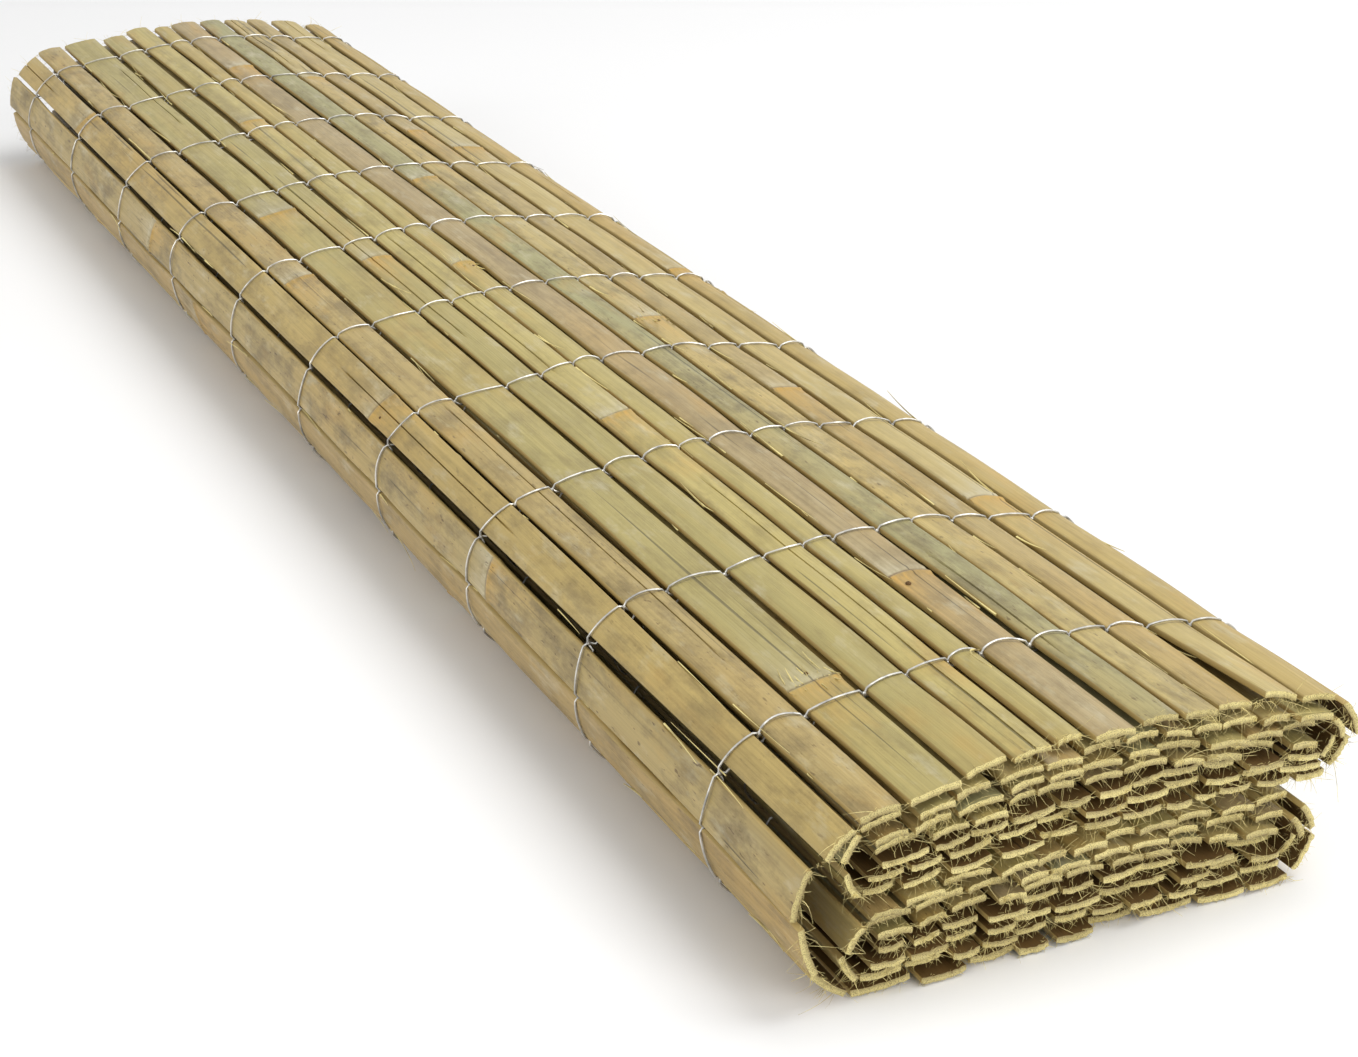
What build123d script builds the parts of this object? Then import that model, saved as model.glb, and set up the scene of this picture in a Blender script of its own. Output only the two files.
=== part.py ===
"""Split bamboo screening, packed as it is sold: the mat is rolled from both ends towards its middle
into two flattened rolls, and one roll is laid on the other.

X runs across the rolls, Y along the slats and Z up. The origin is on the floor, under the middle.
Every slat is a straight split of a bamboo culm, crowned on its skin side, which faces outwards all
the way along the mat. Rows of galvanised wire hold the slats together and follow the whole mat.
"""

import math
import os
from random import Random

from build123d import *

# Driving dimensions, in millimetres
SLAT_LENGTH = 1000.0      # the screening's height when it is put up
SLAT_WIDTH = 15.6         # usual width in the outer turn; slats are ripped to uneven widths
INNER_SLAT_WIDTH = 12.8   # usual width in the layers inside it
SLAT_THICKNESS = 2.5
SLAT_CROWN = 0.95         # most that a slat's skin side rises between its edges
SLAT_GAP = 2.0            # between neighbouring slats of the mat
BEND_GAP = 0.7            # between the inner edges of two slats where the mat bends
NARROWEST_SLAT = 5.5
WIRE_DIAMETER = 0.7
WIRE_ROW_PITCH = 98.3     # from one row of wire to the next, along the slats
FIRST_WIRE_ROW = 65.0     # from the near ends of the slats
RUN_LENGTH = 160.0        # flat stretch of each layer, between the two turned ends
LOWER_RUN_SHORTER = 13.0  # how much earlier the lower roll turns back on the right
LEFT_SETBACK = 1.0        # how much earlier the layers inside the joining side turn on the left
DOME = 10.0               # rise of the top layer above its own ends
ROLL_GAP = 1.0            # between the upper and the lower roll
SIDE_BULGE = 25.0         # how far the joining side stands out from the layers' left ends
RAGGED_ENDS = 6.0         # spread of the slats' near ends along the length
RAGGED_FAR_ENDS = 11.0    # spread of their far ends
LAYER_CLEARANCE = 0.30    # between a layer's wire and the next layer's slats
WIRE_SEAT = 0.02          # between a wire and the slat crests that it lies on
UPPER_LAYERS = 7          # the outermost one is on top
LOWER_LAYERS = 7          # the outermost one is on the floor
CREST_SHARE = 0.28        # share of a layer that lies level on the dome, between two slopes
FACET_SHIFT = 5.0         # how unevenly the layers bend over the dome
NOSE_FACETS = 2           # flats round each turned end
SIDE_FACETS = 4           # flats down the joining side
WIDTH_SPREAD = 0.24       # share by which slats of one stretch differ in width
THINNEST_SHARE = 0.84     # thinnest slat, as a share of the usual thickness
FLATTEST_SHARE = 0.6      # flattest slat, as a share of the full crown
SEED = 11

# Sizes that follow
SLAT_DEPTH = SLAT_THICKNESS + SLAT_CROWN
LAYER_PITCH = SLAT_DEPTH + WIRE_SEAT + WIRE_DIAMETER + LAYER_CLEARANCE
WIRE_INSIDE = SLAT_DEPTH / 2 + WIRE_SEAT
WIRE_OUTSIDE = WIRE_INSIDE + WIRE_DIAMETER
LOWEST_LAYER = WIRE_OUTSIDE
UPPER_BASE = LOWEST_LAYER + LOWER_LAYERS * LAYER_PITCH + WIRE_DIAMETER + ROLL_GAP
TOP_LAYER = UPPER_BASE + (UPPER_LAYERS - 1) * LAYER_PITCH


def own_chance(*words):
    """Chance values of one piece alone, so that they stay when other pieces change."""
    return Random(" ".join(str(word) for word in (SEED, *words)))


class Stretch:
    """A flat stretch of the mat between two bends, in the plane across the slats."""

    def __init__(self, start, end, group):
        self.start = start
        self.end = end
        self.group = group
        self.length = math.dist(start, end)
        self.along = ((end[0] - start[0]) / self.length, (end[1] - start[1]) / self.length)
        self.out = (-self.along[1], self.along[0])

    def point(self, distance, height):
        """The point that far along the stretch and that far out on its skin side."""
        return (
            self.start[0] + self.along[0] * distance + self.out[0] * height,
            self.start[1] + self.along[1] * distance + self.out[1] * height,
        )


def domed(x, z):
    """Lifts a point of the layers: the top layer rises by the dome, the lowest one stays flat."""
    from_middle = 2 * x / RUN_LENGTH - 1
    rise = DOME * max(0.0, 1 - from_middle**2)
    return (x, z + rise * (z - LOWEST_LAYER) / (TOP_LAYER - LOWEST_LAYER))


def turn(centre_x, z_from, z_to, facets, depth=None):
    """The bends of a turned end, round which the mat goes clockwise from one layer to another."""
    radius = (z_from - z_to) / 2
    bend = math.pi / (facets + 1)
    reach = abs(radius) / math.cos(bend / 2)
    squeeze = 1.0 if depth is None else depth / abs(radius)
    side = 1 if radius > 0 else -1
    bends = []
    for k in range(facets + 1):
        angle = bend * (k + 0.5)
        x = centre_x + side * squeeze * reach * math.sin(angle)
        bends.append((x, (z_from + z_to) / 2 + side * reach * math.cos(angle)))
    return bends


def layer_bends(z, run_end, rightwards, group):
    """The two slight bends of a layer where it follows the dome, in the mat's direction."""
    chance = own_chance("bends", group)
    places = []
    for share in (0.5 - CREST_SHARE / 2, 0.5 + CREST_SHARE / 2):
        places.append(run_end * share + chance.uniform(-FACET_SHIFT, FACET_SHIFT))
    if not rightwards:
        places.reverse()
    return [domed(x, z) for x in places]


def roll_order(layers, top_first):
    """Layer numbers of a roll from its outermost one inwards, each turn inside the last."""
    waiting = list(range(layers))
    order = []
    while waiting:
        order.append(waiting.pop(-1 if top_first else 0))
        top_first = not top_first
    return order


def mat_bends():
    """Every bend of the mat with the group of the stretch that starts there, from the lower roll's
    heart, out along the floor, up the joining side and over the top, to the upper roll's heart."""
    lower_end = RUN_LENGTH - LOWER_RUN_SHORTER
    lower = [LOWEST_LAYER + k * LAYER_PITCH for k in range(LOWER_LAYERS)]
    upper = [UPPER_BASE + k * LAYER_PITCH for k in range(UPPER_LAYERS)]
    bends = []

    def add(points, group):
        bends.extend((point, group) for point in points)

    layers = roll_order(LOWER_LAYERS, False)
    rightwards = LOWER_LAYERS % 2 == 0
    heart = (LEFT_SETBACK if rightwards else lower_end, lower[layers[-1]])
    add([heart], f"lower_course_{LOWER_LAYERS}")
    for course in range(LOWER_LAYERS, 1, -1):
        here, after = lower[layers[course - 1]], lower[layers[course - 2]]
        group = f"lower_course_{course}"
        add(layer_bends(here, lower_end, rightwards, group), group)
        nose = turn(lower_end if rightwards else LEFT_SETBACK, here, after, NOSE_FACETS)
        add(nose[:-1], group if course > 2 else "lower_nose_slat")
        add(nose[-1:], f"lower_course_{course - 1}" if course > 2 else "bottom_slat")
        rightwards = not rightwards
    add(layer_bends(lower[0], lower_end, False, "bottom_slat"), "bottom_slat")
    side = turn(0.0, lower[0], upper[-1], SIDE_FACETS, SIDE_BULGE)
    add(side[:-1], "left_side_slat")
    add(side[-1:], "top_slat")
    layers = roll_order(UPPER_LAYERS, True)
    rightwards = True
    for course in range(1, UPPER_LAYERS):
        here, after = upper[layers[course - 1]], upper[layers[course]]
        group = f"upper_course_{course}" if course > 1 else "top_slat"
        add(layer_bends(here, RUN_LENGTH, rightwards, group), group)
        nose = turn(RUN_LENGTH if rightwards else LEFT_SETBACK, here, after, NOSE_FACETS)
        add(nose[:-1], group if course > 1 else "upper_nose_slat")
        add(nose[-1:], f"upper_course_{course + 1}")
        rightwards = not rightwards
    group = f"upper_course_{UPPER_LAYERS}"
    add(layer_bends(upper[layers[-1]], RUN_LENGTH, rightwards, group), group)
    heart = (RUN_LENGTH if rightwards else LEFT_SETBACK, upper[layers[-1]])
    add([heart], None)
    return bends


def mat_stretches(bends):
    return [Stretch(a, b, group) for (a, group), (b, _) in zip(bends, bends[1:])]


def turn_angle(before, after):
    """How much the mat turns from one stretch to the next, in radians."""
    cross = before.along[0] * after.along[1] - before.along[1] * after.along[0]
    dot = before.along[0] * after.along[0] + before.along[1] * after.along[1]
    return abs(math.atan2(cross, dot))


def slat_places(stretches):
    """Yields the stretch, the middle, the width and the chance values of every slat, in order."""
    for k, stretch in enumerate(stretches):
        margins = []
        for a, b in ((k - 1, k), (k, k + 1)):
            inside = 0 <= a and b < len(stretches)
            bend = turn_angle(stretches[a], stretches[b]) if inside else 0.0
            margins.append(BEND_GAP / 2 + SLAT_DEPTH / 2 * math.tan(bend / 2))
        usable = stretch.length - sum(margins)
        if usable < NARROWEST_SLAT:
            continue
        usual_width = SLAT_WIDTH if stretch.group.endswith("_slat") else INNER_SLAT_WIDTH
        count = max(1, round((usable + SLAT_GAP) / (usual_width + SLAT_GAP)))
        chances = [own_chance("slat", k, number) for number in range(count)]
        shares = [1 + chance.uniform(-WIDTH_SPREAD, WIDTH_SPREAD) for chance in chances]
        wood = usable - (count - 1) * SLAT_GAP
        place = margins[0]
        for share, chance in zip(shares, chances):
            width = wood * share / sum(shares)
            yield stretch, place + width / 2, width, chance
            place += width + SLAT_GAP


def slat_arcs(stretch, middle, width, chance):
    """The two arcs of a slat's section, by three points each: the skin side and the culm's inside."""
    thickness = SLAT_THICKNESS * chance.uniform(THINNEST_SHARE, 1.0)
    crown = SLAT_CROWN * chance.uniform(FLATTEST_SHARE, 1.0)
    crest = SLAT_DEPTH / 2
    left, right = middle - width / 2, middle + width / 2
    skin = [(left, crest - crown), (middle, crest), (right, crest - crown)]
    inside = [(distance, height - thickness) for distance, height in reversed(skin)]
    return [[stretch.point(*place) for place in arc] for arc in (skin, inside)]


def slat_section(place):
    """A crowned strip across the slat."""
    skin, inside = (ThreePointArc(*(Vector(x, 0, z) for x, z in arc)) for arc in slat_arcs(*place))
    return Face(Wire([skin, Line(skin @ 1, inside @ 0), inside, Line(inside @ 1, skin @ 0)]))


def offset_bends(stretches, height):
    """The mat's bends moved out to that height on the skin side, with mitred corners."""
    points = [stretches[0].point(0, height)]
    for before, after in zip(stretches, stretches[1:]):
        half = turn_angle(before, after) / 2
        cross = before.along[0] * after.along[1] - before.along[1] * after.along[0]
        shift = math.copysign(height * math.tan(half), -cross)
        points.append(before.point(before.length + shift, height))
    points.append(stretches[-1].point(stretches[-1].length, height))
    return points


def wire_section(stretches):
    """A row of wire seen along the slats: a strip on the crests of every slat of the mat."""
    inner = offset_bends(stretches, WIRE_INSIDE)
    outer = offset_bends(stretches, WIRE_OUTSIDE)
    return Face(Wire.make_polygon([Vector(x, 0, z) for x, z in inner + outer[::-1]], close=True))


def wire_rows():
    """Where the rows of wire cross the slats, from their near ends."""
    count = int((SLAT_LENGTH - FIRST_WIRE_ROW) // WIRE_ROW_PITCH) + 1
    return [FIRST_WIRE_ROW + k * WIRE_ROW_PITCH for k in range(count)]


def prism(face, near, far):
    """The section drawn in the XZ plane, made solid from one place along the slats to another."""
    return Pos(0, near, 0) * extrude(face, far - near, dir=(0, 1, 0))


def build():
    stretches = mat_stretches(mat_bends())
    wire = wire_section(stretches)
    box = wire.bounding_box()
    to_middle = Pos(-(box.min.X + box.max.X) / 2, -SLAT_LENGTH / 2, 0)
    nodes = {}
    for place in slat_places(stretches):
        stretch, _, _, chance = place
        section = slat_section(place)
        near, far = chance.uniform(0, RAGGED_ENDS), chance.uniform(0, RAGGED_FAR_ENDS)
        if stretch.group == "bottom_slat" and stretch.group not in nodes:
            near, far = 0, 0  # the longest slat, from end to end of the bundle
        solid = to_middle * prism(section, near, SLAT_LENGTH - far)
        nodes.setdefault(stretch.group, []).append(solid)
    named = {}
    for group, solids in nodes.items():
        if group.endswith("_slat"):
            named.update({f"{group}_{k:02d}": [solid] for k, solid in enumerate(solids, 1)})
        else:
            named[group] = solids
    for k, place in enumerate(wire_rows(), 1):
        row = prism(wire, place - WIRE_DIAMETER / 2, place + WIRE_DIAMETER / 2)
        named[f"stitch_wire_{k:02d}"] = [to_middle * row]
    return named


def main():
    os.makedirs("parts", exist_ok=True)
    for name, solids in build().items():
        shape = solids[0] if len(solids) == 1 else Compound(children=solids)
        shape.label = name
        export_step(shape, f"parts/{name}.step")


main()
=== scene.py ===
"""Looks of a bundle of split bamboo screening: slats with nodes and frayed ends, twisted wire, stage."""

import math
import random

import bpy
import numpy as np
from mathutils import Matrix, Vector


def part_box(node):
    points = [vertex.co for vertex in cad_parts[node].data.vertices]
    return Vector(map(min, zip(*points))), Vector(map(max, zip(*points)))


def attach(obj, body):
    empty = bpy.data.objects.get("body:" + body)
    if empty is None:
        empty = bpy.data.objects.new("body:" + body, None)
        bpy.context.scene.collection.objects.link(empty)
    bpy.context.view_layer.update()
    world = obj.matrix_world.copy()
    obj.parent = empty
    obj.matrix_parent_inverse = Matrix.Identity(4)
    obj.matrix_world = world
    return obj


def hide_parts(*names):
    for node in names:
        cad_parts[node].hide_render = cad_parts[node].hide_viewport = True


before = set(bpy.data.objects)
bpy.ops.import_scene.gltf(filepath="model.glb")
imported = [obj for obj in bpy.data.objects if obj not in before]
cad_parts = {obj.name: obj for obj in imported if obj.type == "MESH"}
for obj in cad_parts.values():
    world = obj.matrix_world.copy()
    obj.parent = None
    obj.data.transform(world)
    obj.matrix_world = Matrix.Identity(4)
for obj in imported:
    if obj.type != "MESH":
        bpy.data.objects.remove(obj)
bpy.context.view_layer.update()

bl_info = {
    "name": "Split bamboo screening",
    "version": (1, 0, 0),
    "blender": (4, 5, 0),
    "location": "3D View > Sidebar > Screening",
    "description": "Dresses a rolled bundle of split bamboo screening and lights it",
    "category": "Object",
}

MM = 0.001
OUTER_GROUPS = ("lower_nose_slat", "bottom_slat", "left_side_slat", "top_slat", "upper_nose_slat")


def srgb(red, green, blue):
    """A colour given by its display values from 0 to 255, as the shader needs it."""
    def linear(value):
        value /= 255
        return value / 12.92 if value <= 0.04045 else ((value + 0.055) / 1.055) ** 2.4
    return (linear(red), linear(green), linear(blue))


# Skins of the slats that are seen best: the colour's name and the bamboo nodes along the slat,
# as shares of its length from the near end
SEEN_SKINS = {
    "left_side_slat_01": ("brown", (0.30, 0.83)),
    "left_side_slat_02": ("brown", (0.62,)),
    "left_side_slat_03": ("tan", (0.24, 0.69)),
    "left_side_slat_04": ("gold", (0.383, 0.86)),
    "top_slat_01": ("tan", (0.530,)),
    "top_slat_02": ("olive", (0.075, 0.62)),
    "top_slat_03": ("olive", (0.531,)),
    "top_slat_04": ("yellow_olive", (0.30, 0.77)),
    "top_slat_05": ("yellow_olive", (0.499,)),
    "top_slat_06": ("pink_brown", (0.124, 0.882)),
    "top_slat_07": ("grey_green", (0.63,)),
    "top_slat_08": ("straw", (0.40, 0.85)),
    "top_slat_09": ("tan", (0.30, 0.72)),
    "top_slat_10": ("straw", (0.175, 0.69)),
    "top_slat_11": ("gold", (0.47,)),
}
# Colours that the other slats are drawn from
USUAL_SKINS = (
    "straw", "straw", "tan", "olive", "yellow_olive", "gold", "grey_green", "pink_brown", "brown",
)
# Slats that have come loose at the near end, with the angle by which their left edge stands up
LOOSE_SLATS = {
    "top_slat_10": math.radians(13),
    "top_slat_08": math.radians(3),
    "left_side_slat_03": math.radians(5),
}
# Split edges that stand back at the near end and leave a wider gap: left and right edge, in millimetres
WIDE_GAPS = {
    "left_side_slat_03": (0.3, 1.4),
    "left_side_slat_04": (2.8, 0.5),
    "top_slat_02": (1.9, 0.3),
    "top_slat_05": (1.3, 0.6),
    "top_slat_08": (0.3, 1.6),
    "top_slat_10": (2.2, 0.2),
}
# Slats that lie close together on the joining side
TIGHT_SLATS = ("left_side_slat", "top_slat_01")
# Buds and knots that are seen best: slat, share of its width, share of its length, size in millimetres
SEEN_BUDS = (
    ("top_slat_06", -0.3, 0.118, 2.6),
    ("top_slat_08", 0.1, 0.395, 2.4),
    ("left_side_slat_03", 0.2, 0.012, 1.5),
    ("left_side_slat_04", -0.2, 0.378, 2.0),
    ("top_slat_05", 0.25, 0.494, 2.2),
    ("top_slat_02", 0.05, 0.082, 2.0),
)
# Nodes that are broken and frayed: slat and share of its length
FRAYED_NODES = (("top_slat_08", 0.40), ("top_slat_05", 0.499), ("top_slat_02", 0.08))
# Slat with a loose end of fibre curled back at the near row of wire
CURLED_SLAT = "top_slat_05"
# Slats at the floor, whose ends carry no long fibres
FLOOR_SLATS = ("bottom_slat", "lower_nose_slat")
# Ridge of a bamboo node as bumps: height, place and sharpness, in shares of the node's rise and length
NODE_BUMPS = ((1.0, 0.0, 2.0), (0.5, 1.9, 1.6), (-0.35, 1.0, 6.0))
NODE_SWELL = 0.3 * MM    # how far a slat widens at a node
NODE_CLEAR = 9 * MM      # least distance from a node to a row of wire
FINE_STEP = 15 * MM      # closer rings than this get more of them at the nodes
END_RING = 2.5 * MM      # from a slat's end to the ring behind it
NODE_RINGS = np.linspace(-7, 10, 26) * MM  # mesh rings round a node, from its middle
WIRE_HOLD = 22 * MM      # length over which a row of wire holds a slat down
CLEFT_FADE = 25 * MM     # length over which a split along a slat opens
FIBRE_ROOT = 1.5 * MM    # how deep in the slat an end fibre starts
INNER_POINTS = 5         # points of an inner wire for each slat: four on it and one in the gap
# Lamps: name, setting of the power, size and place in metres
LAMPS = (
    ("key_lamp", "key", 1.6, (1.0, -0.4, 2.1)),
    ("fill_lamp", "fill", 1.4, (0.5, -2.4, 1.1)),
    ("left_lamp", "left", 1.2, (-2.0, 0.1, 0.8)),
)
FLOOR_HALF = 14.0        # half the floor's width in metres


def colour_setting(name, words, value):
    """A colour setting."""
    return bpy.props.FloatVectorProperty(
        name=name, description=words, subtype="COLOR", size=3, min=0, max=1, default=value
    )


def length_setting(name, words, value):
    """A length setting, given in millimetres."""
    return bpy.props.FloatProperty(
        name=name, description=words, subtype="DISTANCE", unit="LENGTH", default=value * MM, precision=5
    )


def angle_setting(name, words, value):
    """An angle setting, given in degrees."""
    return bpy.props.FloatProperty(
        name=name, description=words, subtype="ANGLE", default=math.radians(value)
    )


def number_setting(name, words, value):
    """A plain number as a setting."""
    return bpy.props.FloatProperty(name=name, description=words, default=value)


def count_setting(name, words, value):
    """A setting that counts pieces."""
    return bpy.props.IntProperty(name=name, description=words, default=value, min=0)


class ScreeningColours(bpy.types.PropertyGroup):
    """Colours of the bamboo and of the wire."""

    straw: colour_setting("Straw", "Skin of most slats", srgb(193, 173, 112))
    gold: colour_setting("Gold", "Skin of sun-dried slats", srgb(190, 166, 102))
    tan: colour_setting("Tan", "Skin of plain slats", srgb(184, 162, 105))
    olive: colour_setting("Olive", "Skin of slats cut young", srgb(176, 162, 102))
    yellow_olive: colour_setting("Yellow olive", "Skin of half-dried slats", srgb(188, 172, 108))
    grey_green: colour_setting("Grey green", "Skin with its wax still on", srgb(168, 162, 114))
    pink_brown: colour_setting("Pink brown", "Weathered skin", srgb(176, 156, 112))
    brown: colour_setting("Brown", "Darker skin", srgb(176, 150, 95))
    node_gold: colour_setting("Node gold", "Warm side of a node", srgb(198, 158, 80))
    node_wax: colour_setting("Node wax", "Pale wax beside a node", srgb(203, 195, 165))
    node_scar: colour_setting("Node scar", "Dark line round a node", srgb(104, 76, 40))
    cut_wood: colour_setting("Cut wood", "Split sides of a slat", srgb(192, 168, 106))
    # Partly the inner face's own dusty brown and partly painted shade: darkened so that inner faces seen in
    # the gaps between slats look shaded
    inside: colour_setting("Inside", "Inner face of a slat", srgb(102, 79, 44))
    end_grain: colour_setting("End grain", "Sawn ends of the slats", srgb(240, 224, 152))
    pith: colour_setting("Pith", "Dark pits and stains", srgb(92, 68, 36))
    dirt: colour_setting("Dirt", "Dirt and mould on the skin", srgb(104, 88, 56))
    zinc: colour_setting("Zinc", "Galvanised wire", srgb(212, 210, 203))


class ScreeningSlats(bpy.types.PropertyGroup):
    """Sizes of the detail on the slats."""

    edge_wave: length_setting("Edge wave", "How far a slat's split edges wander", 0.75)
    taper: length_setting("Taper", "How far a split edge runs out of line towards an end", 1.3)
    bow: length_setting("Bow", "How far a slat bends sideways", 0.5)
    shrink: length_setting("Shrink", "How far a slat's split edges stand back on average", 0.35)
    tight_share: bpy.props.FloatProperty(
        name="Tight share", description="Share of taper, shrink and bow on slats that lie close together",
        default=0.2, min=0, max=1,
    )
    cleft_depth: length_setting("Cleft depth", "Depth of a split along a slat", 1.2)
    cleft_width: length_setting("Cleft width", "Width of a split along a slat", 0.7)
    room: length_setting("Room", "How far a split edge may reach into the gap beside it", 0.4)
    lift: length_setting("Lift", "How far an outer slat rises between two rows of wire", 0.8)
    inner_lift: length_setting("Inner lift", "How far an inner slat moves between two rows of wire", 0.35)
    twist: angle_setting("Twist", "How far an outer slat turns between two rows of wire", 3.5)
    inner_twist: angle_setting("Inner twist", "How far an inner slat turns away from the wire", 4.5)
    edge_round: length_setting("Edge round", "Rounding of the split edges", 0.3)
    node_rise: length_setting("Node rise", "Height of a bamboo node's ridge", 0.55)
    node_length: length_setting("Node length", "Length of a node's ridge along the slat", 2.2)
    node_bend: length_setting("Node bend", "How far a node's ridge runs out of square", 1.6)
    ragged: length_setting("Ragged end", "How unevenly a slat's end is broken off", 0.5)
    slant: length_setting("Slant", "How far a slat's end is cut out of square", 1.3)
    ring_step: length_setting("Ring step", "Mesh rings along an outer slat", 7.0)
    inner_ring_step: length_setting("Inner ring step", "Mesh rings along an inner slat", 30.0)
    fibre_length: length_setting("Fibre length", "Longest usual fibre at a frayed end", 6.0)
    fibre_width: length_setting("Fibre width", "Thickness of a loose fibre", 0.22)
    splinter_length: length_setting("Splinter length", "Longest splinter at a split edge", 42.0)
    splinters: count_setting("Splinters", "Splinters along each outer slat", 11)
    stubble: count_setting("Stubble", "Short fibres at each end of a slat", 36)
    frayed: count_setting("Frayed", "Splinters at a broken node", 16)
    fibres: count_setting("Fibres", "Loose fibres at each end of a slat", 10)


class ScreeningWire(bpy.types.PropertyGroup):
    """Sizes of the stitching wire."""

    diameter: length_setting("Diameter", "Thickness of one strand", 0.85)
    slack: length_setting("Slack", "How far a strand stands off the middle of a slat", 0.8)
    stray: length_setting("Stray", "How far a strand wanders along the slats", 0.9)
    turns: number_setting("Turns", "Turns of the two strands round each other in a gap", 1.0)


class ScreeningStage(bpy.types.PropertyGroup):
    """Camera and light."""

    lens: number_setting("Lens", "Focal length in millimetres", 70.533)
    sensor: number_setting("Sensor", "Sensor width in millimetres", 36.0)
    place: bpy.props.FloatVectorProperty(
        name="Place", description="Where the camera stands", subtype="TRANSLATION", unit="LENGTH",
        default=(-0.4219, -1.0771, 0.4595),
    )
    down: angle_setting("Down", "How far the camera looks down", 24.3135)
    side: angle_setting("Side", "How far the camera looks to the right", 25.9076)
    floor: colour_setting("Floor", "Colour of the floor", (0.90, 0.90, 0.90))
    key: number_setting("Key", "Power of the main lamp", 30.0)
    fill: number_setting("Fill", "Power of the lamp by the camera", 20.0)
    left: number_setting("Left", "Power of the lamp at the left", 10.0)
    sky: number_setting("Sky", "Light from all round", 0.49)


class Slat:
    """One slat of the frame: a straight crowned strip, read from the solid's corners."""

    def __init__(self, node, corners):
        self.node = node
        self.outer = node.startswith(OUTER_GROUPS)
        self.near = corners[:, 1].min()
        self.far = corners[:, 1].max()
        section = np.unique(np.round(corners[:, [0, 2]], 6), axis=0)
        middle = section.mean(0)
        spread = np.linalg.svd(section - middle)[2]
        along, out = spread[0], spread[1]
        if np.polyfit((section - middle) @ along, (section - middle) @ out, 2)[0] > 0:
            out = -out
        if along[0] * out[1] - along[1] * out[0] < 0:
            along = -along
        places = (section - middle) @ along
        self.along, self.out = along, out
        self.up = np.array((out[0], 0.0, out[1]))
        self.width = np.ptp(places)
        middle = middle + along * (places.max() + places.min()) / 2
        self.middle = middle
        places = (section - middle) @ along
        heights = (section - middle) @ out
        edge = np.abs(np.abs(places) - self.width / 2) < 0.05 * MM
        self.rim = heights[edge].max()
        self.thickness = np.ptp(heights[edge])
        best = heights.argmax()
        inner = 1 - (2 * places[best] / self.width) ** 2
        self.crown = (heights[best] - self.rim) / max(inner, 0.2)
        self.seed = 0

    def height(self, place):
        """Skin side of the slat at that place across it."""
        return self.rim + self.crown * (1 - (2 * place / self.width) ** 2)

    def at(self, share):
        """Place along the slat at that share of its length from the near end."""
        return self.near + share * (self.far - self.near)

    def point(self, place, height, y):
        x, z = self.middle + self.along * place + self.out * height
        return np.array((x, y, z))


def slats_of(node):
    """The slats of a node, each from the corners of one of its solids."""
    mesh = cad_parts[node].data
    corners = np.empty(len(mesh.vertices) * 3, np.float32)
    mesh.vertices.foreach_get("co", corners)
    corners = corners.reshape(-1, 3).astype(float)
    _, same = np.unique(np.round(corners, 6), axis=0, return_inverse=True)
    same = same.ravel()
    owner = list(range(same.max() + 1))

    def find(k):
        while owner[k] != k:
            owner[k] = owner[owner[k]]
            k = owner[k]
        return k

    for face in mesh.polygons:
        first = find(same[face.vertices[0]])
        for vertex in face.vertices[1:]:
            owner[find(same[vertex])] = first
    roots = np.array([find(k) for k in same])
    return [Slat(node, corners[roots == root]) for root in np.unique(roots)]


def in_mat_order(slats):
    """Slats of one layer and of the turned end after it, in the order in which the mat runs."""
    flat = [slat for slat in slats if abs(slat.along[1]) < 0.5]
    turned = [slat for slat in slats if abs(slat.along[1]) >= 0.5]
    rightwards = bool(sum(slat.out[1] for slat in flat) > 0)
    flat.sort(key=lambda slat: slat.middle[0], reverse=not rightwards)
    turned.sort(key=lambda slat: slat.middle[1], reverse=rightwards)
    return flat + turned


def read_mat():
    """Every slat of the mat, from the lower roll's heart to the upper roll's heart."""
    nodes = sorted(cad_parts)
    lower = sorted((name for name in nodes if name.startswith("lower_course")), reverse=True)
    upper = [name for name in nodes if name.startswith("upper_course")]
    outer = [name for group in OUTER_GROUPS for name in nodes if name.startswith(group)]
    mat = []
    for name in lower + outer + upper:
        mat += in_mat_order(slats_of(name))
    for k, slat in enumerate(mat):
        slat.seed = k
    return mat


MAT = read_mat()
WIRE_ROWS = [
    float(sum(corner[1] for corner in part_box(name)) / 2)
    for name in sorted(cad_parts) if name.startswith("stitch_wire")
]


def wander(chance, places, size, waves):
    """A smooth wandering value along the slat, no larger than the size."""
    total = np.zeros_like(places)
    for k in range(waves):
        total += np.sin(places * chance.uniform(4, 9) * (k + 1) + chance.uniform(0, 6.3)) / (k + 1)
    return size * total / sum(1 / (k + 1) for k in range(waves))


def clear_of_wire(place):
    """Moves a bamboo node along the slat until no wire lies on it."""
    for row in WIRE_ROWS:
        if abs(place - row) < NODE_CLEAR:
            return row + math.copysign(NODE_CLEAR, place - row)
    return place


def slat_skin(slat, chance, colours):
    """Colour and node places of a slat."""
    name, shares = SEEN_SKINS.get(slat.node, (None, None))
    if name is None:
        name = chance.choice(USUAL_SKINS)
        shares = [chance.uniform(0.1, 0.5)]
        shares.append(shares[0] + chance.uniform(0.36, 0.48))
    tint = np.array(getattr(colours, name)) * chance.uniform(0.94, 1.05)
    return tint, [clear_of_wire(slat.at(share)) for share in shares]


def ring_places(slat, nodes, step):
    """Places of the mesh rings along a slat, closer together at its nodes and ends."""
    count = max(8, round((slat.far - slat.near) / step))
    places = set(np.linspace(slat.near, slat.far, count + 1))
    places |= {slat.near + END_RING, slat.far - END_RING}
    if step < FINE_STEP:
        for node in nodes:
            places |= set(node + NODE_RINGS)
    return np.array(sorted(place for place in places if slat.near <= place <= slat.far))


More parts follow.
